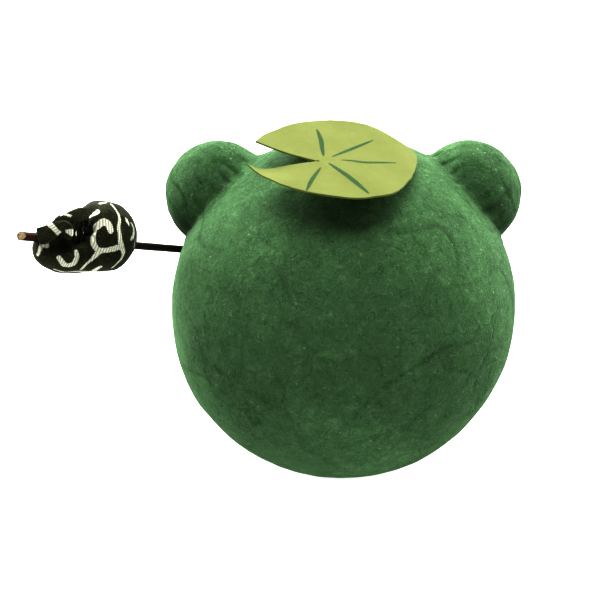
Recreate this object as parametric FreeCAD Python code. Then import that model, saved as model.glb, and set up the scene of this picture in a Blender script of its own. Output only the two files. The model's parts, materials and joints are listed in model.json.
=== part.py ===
import FreeCAD, Part
import math
import os

# A papier-mache travelling frog, a Japanese roly-poly toy. A hollow paper ball is pasted together from two halves,
# has two hollow paper domes for eyes, and is covered with dyed washi. A clay weight in the bottom brings it upright.
# A paper lily leaf is glued on the head. A thin lacquered bamboo pole is pushed into a rolled-paper socket in the
# frog's left shoulder and carries a small cloth bundle, which can turn and slide on the pole.
# Millimetres, +Z up. The origin is the centre of the foot. The frog faces -Y, and its left is +X.

Vec = FreeCAD.Vector
Z_AXIS = Vec(0, 0, 1)

# Ball
BALL_R = 50.0  # outside of the dyed paper
SKIN_T = 0.4
CORE_T = 1.5
STRIP_T = 0.4
STRIP_W = 10.0
FOOT_R = 9.0  # flat that the ball rests on
PATCH_T = 0.4
PATCH_R = 16.0
SEAM_Y = 2.0  # the two halves of the ball meet in this upright plane
BALL = Vec(0, 0, PATCH_T + math.sqrt(BALL_R**2 - FOOT_R**2))
CORE_R = BALL_R - SKIN_T
CAVITY_R = CORE_R - CORE_T

# Clay weight and the paper pasted over it. The weight leans away from the bundle, so that the frog stands straight.
CLAY_H = 13.0
CLAY_LEAN_DEG = 3.2
CLAY_LEAN_AWAY_DEG = 170.0  # heading of the lean, from +X towards +Y
COVER_T = 0.5

# Eye domes
DOME_R = 15.5
DOME_T = 1.2
DOME_AT = Vec(36.6, -15.0, 29.5)  # from the ball's centre; the right dome mirrors it
GAZE = Vec(0.26, -0.95, 0.12)
WHITE_T = 0.3
WHITE_HALF_DEG = 33.0
PUPIL_T = 0.25
PUPIL_HALF_DEG = 17.0

# Face
PAPER_T = 0.3
BELLY_DOWN_DEG = 24.0
BELLY_HALF_DEG = 33.5
MOUTH_UP_DEG = 48.0  # axis of the smile's circle, above the horizon
MOUTH_HALF_DEG = 36.0
MOUTH_W_DEG = 1.5
MOUTH_SWEEP_DEG = 104.0
NOSTRIL_R = 0.8
NOSTRIL_SIDE_DEG = 5.0
NOSTRIL_UP_DEG = 25.0

# Lily leaf
LEAF_R = 23.6
LEAF_T = 0.5
LEAF_BACK_DEG = 4.7
LEAF_SIDE_DEG = 3.3
LEAF_OFF_SIDE = -5.8  # leaf's centre from the glued point, along its width
LEAF_OFF_BACK = 5.7
PAD_R = 4.0
PAD_T = 1.0
NOTCH_APEX = (-4.0, -3.2)
NOTCH_TIPS_DEG = (150.0, 192.5)
CURL_FROM = -9.0
CURL_R = 110.0
DROOP_FROM = 10.2
DROOP_R = 42.0

# Pole, as lengths along its axis from where it enters the ball
POLE_OUT_DEG = 35.8  # heading, from +X towards +Y
POLE_UP_DEG = 19.4
POLE_ENTRY = Vec(47.1, -7.6, 14.85)  # from the ball's centre
POLE_IN = 22.0
POLE_OUT = 54.6
POLE_R_IN = 1.06
POLE_R_TIP = 1.25
TIP_CHAMFER = 0.45
TIP_CUT_BACK = 1.9
TIP_CUT_LIFT = 0.35
SOCKET_R = 2.3
SOCKET_BORE_R = 1.12
SOCKET_LEN = 25.0
PLUG_LEN = 2.0

# Bundle, in lengths along the pole and above it
BAG_T = 0.6
BAG_AT, BAG_LIFT = 27.9, 2.1
BAG_LONG, BAG_WIDE = 10.1, 10.0
LOBE_AT, LOBE_LIFT = 37.7, -2.6
LOBE_LONG, LOBE_WIDE = 10.8, 6.5
LOBE_TILT_DEG = -4.0
BAG_BORE_R = 1.4
KNOT_AT, KNOT_LIFT, KNOT_SIDE = 37.6, 3.6, -3.6
KNOT_R, KNOT_ROLL_R = 1.9, 1.3
EAR_AT, EAR_LIFT, EAR_SIDE = 34.6, 7.3, -2.0
EAR_END_AT, EAR_END_LIFT, EAR_END_SIDE = 49.6, 2.1, -1.9
EAR_W, EAR_T = 5.4, 2.2
EAR_END_W, EAR_END_T = 4.8, 1.9
EAR_TURN_DEG = 45.0  # the broad side faces halfway between up and back
FAR_EAR_AT, FAR_EAR_LIFT, FAR_EAR_SIDE = 37.0, 1.0, 9.5
TIE_FROM, TIE_TO = 45.6, 49.2
TIE_BORE_R = 1.34
TIE_R = 1.9
TIE_GAP = 0.35

FAR = 200.0  # larger than the toy


def rotated(shape, axis, degrees, centre=None):
    turned = shape.copy()
    turned.rotate(centre or Vec(0, 0, 0), axis, degrees)
    return turned


def heading(out_deg, up_deg):
    """Unit vector at a heading from +X towards +Y and a height above the horizon."""
    out, up = math.radians(out_deg), math.radians(up_deg)
    return Vec(math.cos(out) * math.cos(up), math.sin(out) * math.cos(up), math.sin(up))


def mirror_x(shape):
    return shape.mirror(Vec(0, 0, 0), Vec(1, 0, 0))


def sphere(radius, centre):
    return Part.makeSphere(radius, centre)


def spherical_shell(outer, inner, centre):
    return sphere(outer, centre).cut(sphere(inner, centre))


def cone_about(direction, half_deg, centre):
    """A cone with its point at centre, to cut a round patch out of a spherical shell."""
    length = BALL_R * 1.5
    return Part.makeCone(0, length * math.tan(math.radians(half_deg)), length, centre, direction)


def above(z):
    return Part.makeBox(FAR, FAR, FAR, Vec(-FAR / 2, -FAR / 2, z))


def half_space_y(front):
    corner = Vec(-FAR / 2, SEAM_Y - FAR if front else SEAM_Y, -FAR / 2)
    return Part.makeBox(FAR, FAR, FAR + 50, corner)


# Pole axis frame
POLE_DIR = heading(POLE_OUT_DEG, POLE_UP_DEG)
POLE_SIDE = POLE_DIR.cross(Z_AXIS).normalize()
POLE_LIFT = POLE_SIDE.cross(POLE_DIR)
ENTRY = BALL + POLE_ENTRY


def on_pole(along, lift=0.0, side=0.0):
    return ENTRY + POLE_DIR * along + POLE_LIFT * lift + POLE_SIDE * side


def pole_cylinder(radius, start, end):
    return Part.makeCylinder(radius, end - start, on_pole(start), POLE_DIR)


def spheroid(long_r, wide_r, centre, axis):
    """A solid of revolution of half an ellipse, with its long axis along axis."""
    ellipse = Part.Ellipse(Vec(0, 0, long_r), Vec(wide_r, 0, 0), Vec(0, 0, 0))
    ends = sorted((ellipse.parameter(Vec(0, 0, long_r)), ellipse.parameter(Vec(0, 0, -long_r))))
    arc = Part.ArcOfEllipse(ellipse, ends[0], ends[1]).toShape()
    chord = Part.LineSegment(Vec(0, 0, long_r), Vec(0, 0, -long_r)).toShape()
    face = Part.Face(Part.Wire(Part.__sortEdges__([arc, chord])))
    solid = face.revolve(Vec(0, 0, 0), Z_AXIS, 360)
    solid = Part.Solid(solid) if solid.ShapeType != "Solid" else solid
    solid.Placement = FreeCAD.Placement(centre, FreeCAD.Rotation(Z_AXIS, axis))
    return solid


# Ball


def ball_core():
    core = sphere(CORE_R, BALL).common(above(PATCH_T + SKIN_T)).cut(sphere(CAVITY_R, BALL))
    return core.cut(pole_cylinder(SOCKET_R, -SOCKET_LEN, 10))


def ball_skin():
    outside = sphere(BALL_R, BALL).common(above(PATCH_T))
    skin = outside.cut(sphere(CORE_R, BALL).common(above(PATCH_T + SKIN_T)))
    for dome in dome_centres():
        skin = skin.cut(sphere(DOME_R, dome))
    return skin.cut(pole_cylinder(SOCKET_R, -SOCKET_LEN, 10))


def seam_strip():
    band = spherical_shell(CAVITY_R, CAVITY_R - STRIP_T, BALL)
    slab = Part.makeBox(FAR, STRIP_W, FAR, Vec(-FAR / 2, SEAM_Y - STRIP_W / 2, -FAR / 2))
    strip = band.common(slab).cut(clay_cap(CLAY_H + COVER_T + 0.2))
    return strip.cut(pole_cylinder(SOCKET_R, -SOCKET_LEN, 10))


def base_patch():
    disc = Part.makeCylinder(PATCH_R, BALL_R / 2).common(sphere(BALL_R + PATCH_T, BALL))
    return disc.cut(sphere(BALL_R, BALL).common(above(PATCH_T)))


def clay_cap(height):
    """The bottom of the cavity up to height, leaning as the weight does."""
    lean = heading(CLAY_LEAN_AWAY_DEG, -90 + CLAY_LEAN_DEG)
    top = BALL + lean * (CAVITY_R - height)
    below = Part.makeCylinder(FAR / 2, FAR / 2, top, lean)
    return sphere(CAVITY_R, BALL).common(below)


def clay_weight():
    return clay_cap(CLAY_H)


def weight_cover():
    return clay_cap(CLAY_H + COVER_T).cut(clay_cap(CLAY_H))


# Eyes and face


def dome_centres():
    left = BALL + DOME_AT
    return left, Vec(-left.x, left.y, left.z)


def eye_dome():
    cup = spherical_shell(DOME_R - SKIN_T, DOME_R - SKIN_T - DOME_T, dome_centres()[0])
    return cup.cut(sphere(CORE_R, BALL))


def dome_skin():
    cup = spherical_shell(DOME_R, DOME_R - SKIN_T, dome_centres()[0])
    return cup.cut(sphere(CORE_R, BALL))


def eye_white():
    centre = dome_centres()[0]
    return spherical_shell(DOME_R + WHITE_T, DOME_R, centre).common(cone_about(GAZE, WHITE_HALF_DEG, centre))


def pupil():
    centre = dome_centres()[0]
    inner = DOME_R + WHITE_T
    return spherical_shell(inner + PUPIL_T, inner, centre).common(cone_about(GAZE, PUPIL_HALF_DEG, centre))


def belly_patch():
    low = heading(-90, -BELLY_DOWN_DEG)
    return spherical_shell(BALL_R + PAPER_T, BALL_R, BALL).common(cone_about(low, BELLY_HALF_DEG, BALL))


def mouth_strip():
    """A narrow band along the lower part of a circle on the ball's front."""
    axis = heading(-90, MOUTH_UP_DEG)
    low = MOUTH_UP_DEG - MOUTH_HALF_DEG - MOUTH_W_DEG / 2
    high = low + MOUTH_W_DEG
    inner, outer = BALL_R + 0.005, BALL_R + PAPER_T
    corners = [
        BALL + heading(-90, up) * reach
        for up, reach in ((low, inner), (low, outer), (high, outer), (high, inner))
    ]
    face = Part.Face(Part.makePolygon(corners + corners[:1]))
    start = rotated(face, axis, -MOUTH_SWEEP_DEG / 2, BALL)
    return start.revolve(BALL, axis, MOUTH_SWEEP_DEG)


def nostrils():
    shell = spherical_shell(BALL_R + PAPER_T, BALL_R, BALL)
    dots = []
    for side in (-1, 1):
        way = heading(-90 + side * NOSTRIL_SIDE_DEG, NOSTRIL_UP_DEG)
        dots.append(shell.common(Part.makeCylinder(NOSTRIL_R, FAR / 2, BALL, way)))
    return Part.makeCompound(dots)


# Lily leaf: built flat about the Z axis over the origin, then tilted about the ball's centre


def place_on_head(shape):
    """Tilts a shape that was built over the origin, and moves it to the ball's centre."""
    shape = rotated(shape, Vec(1, 0, 0), -LEAF_BACK_DEG)
    shape = rotated(shape, Vec(0, 1, 0), -LEAF_SIDE_DEG)
    shape.translate(BALL)
    return shape


def leaf_outline():
    """A round leaf with a wedge cut out, along x to the frog's right and y to its front."""
    disc = Part.makeCylinder(LEAF_R, 40, Vec(0, 0, -20))
    apex = Vec(NOTCH_APEX[0], NOTCH_APEX[1], -20)
    rays = [apex + heading(a, 0) * 2 * LEAF_R for a in NOTCH_TIPS_DEG]
    wedge = Part.Face(Part.makePolygon([apex, *rays, apex])).extrude(Vec(0, 0, 40))
    return disc.cut(wedge)


def leaf_sheet():
    """A sheet that is flat in the middle, curls up at the notch and droops at the other side."""
    reach = LEAF_R + 2

    def edge(z, up_r, down_r):
        """Left arc, flat and right arc of one face of the sheet."""
        bend = (CURL_FROM + reach) / up_r
        sag = (reach - DROOP_FROM) / down_r
        left = [
            Vec(CURL_FROM - up_r * math.sin(bend * k), 0, z + up_r * (1 - math.cos(bend * k)))
            for k in (1, 0.5, 0)
        ]
        right = [
            Vec(DROOP_FROM + down_r * math.sin(sag * k), 0, z - down_r * (1 - math.cos(sag * k)))
            for k in (0, 0.5, 1)
        ]
        return [
            Part.Arc(*left).toShape(),
            Part.LineSegment(left[2], right[0]).toShape(),
            Part.Arc(*right).toShape(),
        ], left[0], right[2]

    low, low_left, low_right = edge(0, CURL_R, DROOP_R)
    high, high_left, high_right = edge(LEAF_T, CURL_R - LEAF_T, DROOP_R + LEAF_T)
    ends = [
        Part.LineSegment(low_left, high_left).toShape(),
        Part.LineSegment(low_right, high_right).toShape(),
    ]
    section = Part.Face(Part.Wire(Part.__sortEdges__(low + high + ends)))
    section.translate(Vec(0, -reach, 0))
    return section.extrude(Vec(0, 2 * reach, 0))


def leaf_hat():
    leaf = leaf_outline().common(leaf_sheet())
    # built with x to the frog's right and y to its front; this turn gives the toy's own directions
    leaf = rotated(leaf, Z_AXIS, 180)
    leaf.translate(Vec(-LEAF_OFF_SIDE, LEAF_OFF_BACK, BALL_R + PAD_T))
    return place_on_head(leaf)


def leaf_pad():
    pad = Part.makeCylinder(PAD_R, PAD_T + 2, Vec(0, 0, BALL_R - 2))
    return place_on_head(pad).cut(sphere(BALL_R, BALL))


# Pole and its socket


def pole():
    inner = pole_cylinder(POLE_R_IN, -POLE_IN, 1)
    outer = Part.makeCone(POLE_R_IN, POLE_R_TIP, POLE_OUT - 1 - TIP_CHAMFER, on_pole(1), POLE_DIR)
    chamfer = Part.makeCone(
        POLE_R_TIP, POLE_R_TIP - TIP_CHAMFER, TIP_CHAMFER, on_pole(POLE_OUT - TIP_CHAMFER), POLE_DIR
    )
    rod = inner.fuse([outer, chamfer])
    # whittled facet on the upper back of the tip
    facet_dir = POLE_DIR * 0.75 + POLE_LIFT * 0.35 - POLE_SIDE * 0.6
    knife = Part.makeCylinder(10, 10, on_pole(POLE_OUT - TIP_CUT_BACK, TIP_CUT_LIFT, -0.55), facet_dir)
    return rod.cut(knife).removeSplitter()


def pole_socket():
    tube = pole_cylinder(SOCKET_R, -SOCKET_LEN, 10).cut(pole_cylinder(SOCKET_BORE_R, -SOCKET_LEN, 10))
    return tube.common(sphere(BALL_R, BALL))


def socket_plug():
    return pole_cylinder(SOCKET_BORE_R, -SOCKET_LEN, -SOCKET_LEN + PLUG_LEN)


# Bundle


def bag_form(shrink):
    """The outer form of the stuffed bag, or the form of its stuffing."""
    bag = spheroid(BAG_LONG - shrink, BAG_WIDE - shrink, on_pole(BAG_AT, BAG_LIFT), POLE_DIR)
    tilt = math.radians(LOBE_TILT_DEG)
    lobe_dir = POLE_DIR * math.cos(tilt) + POLE_LIFT * math.sin(tilt)
    lobe = spheroid(LOBE_LONG - shrink, LOBE_WIDE - shrink, on_pole(LOBE_AT, LOBE_LIFT), lobe_dir)
    return bag.fuse(lobe)


def pole_room():
    """Space that the bundle leaves for the pole and the tie."""
    bore = pole_cylinder(BAG_BORE_R, -POLE_IN, POLE_OUT + 10)
    return bore.fuse(pole_cylinder(TIE_R + TIE_GAP, TIE_FROM - TIE_GAP, POLE_OUT + 10))


def bundle_stuffing():
    return bag_form(BAG_T).cut(pole_room())


def bundle_cloth():
    return bag_form(0).cut(bag_form(BAG_T)).cut(pole_room())


def knot_form():
    centre = on_pole(KNOT_AT, KNOT_LIFT, KNOT_SIDE)
    roll = Part.makeTorus(KNOT_R, KNOT_ROLL_R, centre, POLE_DIR)
    return roll.fuse(Part.makeSphere(KNOT_R + 0.3, centre))


def bundle_knot():
    return knot_form().cut(bag_form(0))


def flat_bar(start, end, start_size, end_size, across):
    """A tapering bar with a rectangular section between two points."""
    wires = []
    along = (end - start).normalize()
    up = along.cross(across).normalize()
    side = up.cross(along)
    for point, (width, thick) in ((start, start_size), (end, end_size)):
        corners = [
            point + side * (sx * width / 2) + up * (sy * thick / 2)
            for sx, sy in ((-1, -1), (1, -1), (1, 1), (-1, 1))
        ]
        wires.append(Part.makePolygon(corners + corners[:1]))
    return Part.makeLoft(wires, True, True)


def near_ear():
    """The folded cloth corner that lies over the pole, from the top of the bag towards the pole's tip."""
    turn = math.radians(EAR_TURN_DEG)
    bar = flat_bar(
        on_pole(EAR_AT, EAR_LIFT, EAR_SIDE),
        on_pole(EAR_END_AT, EAR_END_LIFT, EAR_END_SIDE),
        (EAR_W, EAR_T),
        (EAR_END_W, EAR_END_T),
        POLE_SIDE * math.cos(turn) + POLE_LIFT * math.sin(turn),
    )
    return bar.cut(knot_form()).cut(bag_form(0)).cut(pole_room())


def far_ear():
    """The other cloth corner, which is tucked down the side of the bundle that faces the front."""
    bar = flat_bar(
        on_pole(EAR_AT + 1, EAR_LIFT - 1.2, EAR_SIDE + 4),
        on_pole(FAR_EAR_AT, FAR_EAR_LIFT, FAR_EAR_SIDE),
        (EAR_W, EAR_T),
        (EAR_END_W, EAR_END_T),
        POLE_DIR,
    )
    return bar.cut(near_ear()).cut(bag_form(0)).cut(pole_room())


def pole_tie():
    return pole_cylinder(TIE_R, TIE_FROM, TIE_TO).cut(pole_cylinder(TIE_BORE_R, TIE_FROM, TIE_TO))


def nodes():
    core, skin = ball_core(), ball_skin()
    front, rear = half_space_y(True), half_space_y(False)
    left_eye = {
        "eye_dome": eye_dome(),
        "dome_skin": dome_skin(),
        "eye_white": eye_white(),
        "pupil": pupil(),
    }
    made = {
        "core_front": core.common(front),
        "core_rear": core.common(rear),
        "skin_front": skin.common(front),
        "skin_rear": skin.common(rear),
        "seam_strip": seam_strip(),
        "base_patch": base_patch(),
        "clay_weight": clay_weight(),
        "weight_cover": weight_cover(),
        "belly_patch": belly_patch(),
        "mouth_strip": mouth_strip(),
        "nostrils": nostrils(),
        "leaf_hat": leaf_hat(),
        "leaf_pad": leaf_pad(),
        "pole": pole(),
        "pole_socket": pole_socket(),
        "socket_plug": socket_plug(),
        "bundle_stuffing": bundle_stuffing(),
        "bundle_cloth": bundle_cloth(),
        "bundle_knot": bundle_knot(),
        "near_ear": near_ear(),
        "far_ear": far_ear(),
        "pole_tie": pole_tie(),
    }
    for name, shape in left_eye.items():
        made[name + "_left"] = shape
        made[name + "_right"] = mirror_x(shape)
    return made


def main():
    os.makedirs("parts", exist_ok=True)
    for name, shape in nodes().items():
        solids = Part.makeCompound(shape.Solids) if len(shape.Solids) > 1 else shape.Solids[0]
        if not solids.isValid():
            print("NOT VALID", name)
        solids.exportStep(f"parts/{name}.step")
        print(f"{name:16s} solids {len(shape.Solids)} volume {solids.Volume:10.1f} mm3")


main()
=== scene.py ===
import json
import math

import bmesh
import bpy
import numpy as np
from mathutils import Matrix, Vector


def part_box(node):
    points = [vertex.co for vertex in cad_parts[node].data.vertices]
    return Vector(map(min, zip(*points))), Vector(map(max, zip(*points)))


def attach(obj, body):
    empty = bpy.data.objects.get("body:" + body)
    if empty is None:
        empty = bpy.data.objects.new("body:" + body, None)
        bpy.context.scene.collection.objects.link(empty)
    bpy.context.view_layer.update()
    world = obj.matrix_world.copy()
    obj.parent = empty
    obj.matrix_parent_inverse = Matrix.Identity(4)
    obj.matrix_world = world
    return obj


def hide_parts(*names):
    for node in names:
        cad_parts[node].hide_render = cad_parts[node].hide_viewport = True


# A papier-mache roly-poly frog seen from behind, on a plain pale floor. Lengths are in millimetres until a
# mesh is made, and in metres from there on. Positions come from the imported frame.

MM = 0.001
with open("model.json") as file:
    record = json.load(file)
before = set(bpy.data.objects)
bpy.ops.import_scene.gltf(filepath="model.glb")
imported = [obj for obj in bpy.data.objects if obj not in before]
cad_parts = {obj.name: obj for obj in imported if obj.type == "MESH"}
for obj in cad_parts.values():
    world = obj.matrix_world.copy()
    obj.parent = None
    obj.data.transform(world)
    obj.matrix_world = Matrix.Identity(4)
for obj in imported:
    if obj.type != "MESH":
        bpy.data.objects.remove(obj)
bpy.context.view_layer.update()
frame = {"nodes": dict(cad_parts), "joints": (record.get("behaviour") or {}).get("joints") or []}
JOINTS = {joint["name"]: joint for joint in frame["joints"]}


def corners(node):
    low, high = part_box(node)
    return np.array(low) / MM, np.array(high) / MM


def unit(v):
    v = np.asarray(v, float)
    return v / np.linalg.norm(v, axis=-1, keepdims=True)


def smooth(x, low, high):
    """0 below low, 1 above high, and a smooth step between."""
    t = np.clip((np.asarray(x, float) - low) / (high - low), 0, 1)
    return t * t * (3 - 2 * t)


def field_noise(p, seed, size, count=14):
    """A smooth random field of about -1 to 1 with features about size mm across."""
    rng = np.random.default_rng(seed)
    total = np.zeros(len(p))
    for _ in range(count):
        k = rng.normal(size=3)
        k *= 2 * math.pi / size * rng.uniform(0.6, 1.4) / np.linalg.norm(k)
        total += np.sin(p @ k + rng.uniform(0, 2 * math.pi))
    return total / math.sqrt(count * 2)


# ---------------- places

low, high = corners("skin_front")
BALL_R = (high[0] - low[0]) / 2
BALL = np.array([(high[0] + low[0]) / 2, 0.0, high[2] - BALL_R])
DOME_R = 15.5
low, high = corners("dome_skin_left")
DOME_L = np.array([high[0] - DOME_R, low[1] + DOME_R, high[2] - DOME_R]) - BALL
DOME_Rt = DOME_L * (-1, 1, 1)
# the skin is flattened at the foot, just below the board
FOOT_Z = corners("core_front")[0][2] - 0.3

POLE_DIR = unit(JOINTS["bundle_turn"]["axis"])
POLE_SIDE = unit(np.cross(POLE_DIR, (0, 0, 1)))
POLE_LIFT = np.cross(POLE_SIDE, POLE_DIR)
# how far along the pole the bundle's joint stands
JOINT_ALONG = 46.0
ENTRY = np.array(JOINTS["bundle_turn"]["pos_m"]) / MM - JOINT_ALONG * POLE_DIR


def on_pole(along, lift=0.0, side=0.0):
    """A point along the pole from its entry, above it, and beside it on the frog's front side."""
    along, lift, side = (np.asarray(v, float)[..., None] for v in (along, lift, side))
    return ENTRY + POLE_DIR * along + POLE_LIFT * lift + POLE_SIDE * side


# ---------------- camera

CAM_ELEVATION = math.radians(27)
CAM_DISTANCE = 450.0
CAM_LENS, CAM_SENSOR = 91.77, 36.0
# how far the camera is turned from the ball's centre, which stands right of the middle and a little below it
CAM_TURN, CAM_TIP = math.radians(1.614), math.radians(0.225)
TOWARD = np.array([0, math.cos(CAM_ELEVATION), math.sin(CAM_ELEVATION)])
UP = np.array([0, -math.sin(CAM_ELEVATION), math.cos(CAM_ELEVATION)])
RIGHT = np.array([-1.0, 0, 0])
CAMERA = BALL + TOWARD * CAM_DISTANCE


def make_camera():
    data = bpy.data.cameras.new("camera")
    data.sensor_width = CAM_SENSOR
    data.lens = CAM_LENS
    data.clip_start = 0.01
    camera = bpy.data.objects.new("camera", data)
    bpy.context.scene.collection.objects.link(camera)
    seen = unit([math.tan(CAM_TURN), -math.tan(CAM_TIP), 1.0])
    turn_axis = unit(np.cross([0, 0, 1.0], seen))
    turn = np.array(Matrix.Rotation(math.acos(seen[2]), 3, turn_axis.tolist()))
    axes = turn @ np.stack([RIGHT, UP, -TOWARD])
    rows = np.stack([axes[0], axes[1], -axes[2]], 1)
    matrix = Matrix([[*rows[i], CAMERA[i] * MM] for i in range(3)] + [[0, 0, 0, 1]])
    camera.matrix_world = matrix
    bpy.context.scene.camera = camera


make_camera()

# ---------------- node helpers


class Nodes:
    """Builds one procedural material, with short calls for the nodes it needs."""

    def __init__(self, name, **surface):
        self.material = bpy.data.materials.new(name)
        self.material.use_nodes = True
        self.tree = self.material.node_tree
        self.bsdf = self.tree.nodes["Principled BSDF"]
        self.coord = self.tree.nodes.new("ShaderNodeTexCoord").outputs["Object"]
        for key, value in surface.items():
            self.bsdf.inputs[key.replace("_", " ")].default_value = value

    def add(self, kind, out=0, props=None, **inputs):
        node = self.tree.nodes.new("ShaderNode" + kind)
        for key, value in (props or {}).items():
            setattr(node, key, value)
        for key, value in inputs.items():
            socket = node.inputs[int(key[1:])] if key[0] == "i" and key[1:].isdigit() else node.inputs[key]
            self.put(socket, value)
        return node.outputs[out]

    def put(self, socket, value):
        if isinstance(value, bpy.types.NodeSocket):
            self.tree.links.new(value, socket)
        else:
            socket.default_value = value

    def math(self, operation, a, b=0.0, clamp=False):
        return self.add("Math", props={"operation": operation, "use_clamp": clamp}, i0=a, i1=b)

    def plus(self, a, b):
        return self.math("ADD", a, b)

    def minus(self, a, b):
        return self.math("SUBTRACT", a, b)

    def times(self, a, b, clamp=False):
        return self.math("MULTIPLY", a, b, clamp)

    def most(self, a, b):
        return self.math("MAXIMUM", a, b)

    def place(self, scale, offset=(0, 0, 0)):
        """Coordinates in mm times scale."""
        scale = scale if isinstance(scale, tuple) else (scale,) * 3
        return self.add("Mapping", Vector=self.coord, Location=offset, Scale=tuple(s / MM for s in scale))

    def noise(self, where, detail=2.0, distortion=0.0, roughness=0.5):
        return self.add(
            "TexNoise", Vector=where, Scale=1.0, Detail=detail, Distortion=distortion, Roughness=roughness
        )

    def ramp(self, value, low, high, to_low=0.0, to_high=1.0, soft=True):
        props = {"interpolation_type": "SMOOTHSTEP" if soft else "LINEAR"}
        return self.add("MapRange", props=props, i0=value, i1=low, i2=high, i3=to_low, i4=to_high)

    def mix(self, factor, a, b):
        node = self.tree.nodes.new("ShaderNodeMix")
        node.data_type = "RGBA"
        self.put(node.inputs[0], factor)
        self.put(node.inputs[6], a if isinstance(a, bpy.types.NodeSocket) else (*a, 1))
        self.put(node.inputs[7], b if isinstance(b, bpy.types.NodeSocket) else (*b, 1))
        return node.outputs[2]

    def threads(self, scale, width, seed, breaks=0.5, stretch=(1, 1, 1)):
        """Thin wandering lines, broken into lengths: 1 on a line."""
        where = self.place(tuple(scale * s for s in stretch), offset=(seed * 3.7, seed * 1.3, -seed * 2.1))
        line = self.math("ABSOLUTE", self.minus(self.noise(where, 1.0, 1.2), 0.5))
        line = self.ramp(line, 0.0, width, 1.0, 0.0)
        holes = self.noise(self.place(scale * 0.9, offset=(-seed * 2.3, seed * 5.1, seed)), 1.0)
        return self.times(line, self.ramp(holes, breaks - 0.06, breaks + 0.06))

    def attribute(self, name):
        return self.add("Attribute", out=2, props={"attribute_name": name})

    def bump(self, height, strength, distance):
        return self.add("Bump", Height=height, Strength=strength, Distance=distance * MM)

    def done(self, colour, normal=None, roughness=None):
        self.put(self.bsdf.inputs["Base Color"], colour)
        if normal is not None:
            self.put(self.bsdf.inputs["Normal"], normal)
        if roughness is not None:
            self.put(self.bsdf.inputs["Roughness"], roughness)
        return self.material


def washi(name, dark, mid, light, fibre, strength=1.0, cloud=0.045):
    """Dyed fibrous paper in torn overlapping sheets."""
    sheen = {"Sheen_Weight": 0.3, "Sheen_Roughness": 0.3, "Sheen_Tint": (*light, 1)}
    m = Nodes(name, Roughness=0.88, Specular_IOR_Level=0.16, **sheen)
    warp = m.add("TexNoise", out=1, Vector=m.place(0.12), Scale=1.0, Detail=3.0)
    warped = m.add("VectorMath", props={"operation": "SUBTRACT"}, i0=warp, i1=(0.5, 0.5, 0.5))
    warped = m.add("VectorMath", props={"operation": "SCALE"}, i0=warped, Scale=0.7)
    sheet_at = m.add("VectorMath", props={"operation": "ADD"}, i0=m.place(0.035), i1=warped)
    sheet = m.add("TexVoronoi", out=1, Vector=sheet_at, Scale=1.0)
    sheet_tone = m.add("SeparateColor", i0=sheet)
    torn = m.add("TexVoronoi", props={"feature": "DISTANCE_TO_EDGE"}, Vector=sheet_at, Scale=1.0)
    torn_edge = m.ramp(torn, 0.0, 0.035, 1.0, 0.0)
    clouds = m.noise(m.place(cloud), 5.0, 0.4, 0.6)
    mottle = m.noise(m.place(0.30), 7.0, 0.9, 0.75)
    pulp = m.noise(m.place(1.1), 5.0, 0.5, 0.8)
    tone = m.plus(m.times(clouds, 0.7), m.times(mottle, 1.1))
    tone = m.plus(tone, m.times(sheet_tone, 0.12))
    tone = m.plus(tone, m.times(pulp, 0.6))
    tone = m.ramp(tone, 0.95, 1.60, soft=False)
    colour = m.mix(m.ramp(tone, 0.0, 0.5), dark, mid)
    colour = m.mix(m.ramp(tone, 0.5, 1.0), colour, light)
    fine = m.most(
        m.threads(0.50, 0.022, 1.0, 0.48, (1, 1, 2.2)),
        m.threads(0.62, 0.020, 4.0, 0.50, (2.2, 1, 1)),
    )
    long = m.most(m.threads(0.2, 0.009, 7.0, 0.51), m.threads(0.28, 0.010, 11.0, 0.53, (1, 2, 1)))
    pale = m.times(m.most(fine, long), 0.5 * strength)
    colour = m.mix(pale, colour, fibre)
    shade = m.most(m.threads(0.3, 0.016, 17.0, 0.48), m.threads(0.6, 0.03, 23.0, 0.5, (1, 2, 1)))
    colour = m.mix(m.times(shade, 0.55 * strength), colour, tuple(c * 0.5 for c in dark))
    # painted shade: the creases and the lower side of the domes' feet are darkened
    painted_shade = m.times(m.attribute("crease"), m.ramp(mottle, 0.25, 0.75, 0.75, 1.25))
    colour = m.mix(m.times(painted_shade, 0.8, clamp=True), colour, tuple(c * 0.42 for c in dark))
    colour = m.mix(m.times(torn_edge, 0.16 * strength), colour, tuple(c * 0.7 for c in dark))
    for size, seed in ((0.16, 5.0), (0.27, 12.0)):
        where = m.place(size, offset=(seed, -seed, 2 * seed))
        flake = m.add("TexVoronoi", Vector=where, Scale=1.0)
        rare = m.noise(m.place(0.07, offset=(seed, 9, 2)), 3.0)
        flake = m.times(m.ramp(flake, 0.34 * size, 0.16 * size), m.ramp(rare, 0.50, 0.58))
        colour = m.mix(m.times(flake, 0.62), colour, tuple(0.35 + 0.5 * c for c in fibre))
    height = m.plus(m.times(mottle, 0.9), m.times(pulp, 0.5))
    height = m.plus(height, m.times(m.most(fine, long), 0.2))
    height = m.minus(height, m.times(shade, 0.12))
    height = m.plus(height, m.times(torn_edge, -0.3))
    return m.done(colour, m.bump(height, 0.75 * strength, 0.5))


def plain_paper(name, dark, light):
    m = Nodes(name, Roughness=0.9, Specular_IOR_Level=0.2)
    tone = m.noise(m.place(0.25), 5.0, 0.3, 0.65)
    colour = m.mix(m.ramp(tone, 0.3, 0.7), dark, light)
    fibres = m.threads(0.5, 0.014, 3.0)
    colour = m.mix(m.times(fibres, 0.3), colour, tuple(c * 0.75 for c in dark))
    return m.done(colour, m.bump(m.plus(tone, m.times(fibres, 0.2)), 0.4, 0.25))


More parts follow.
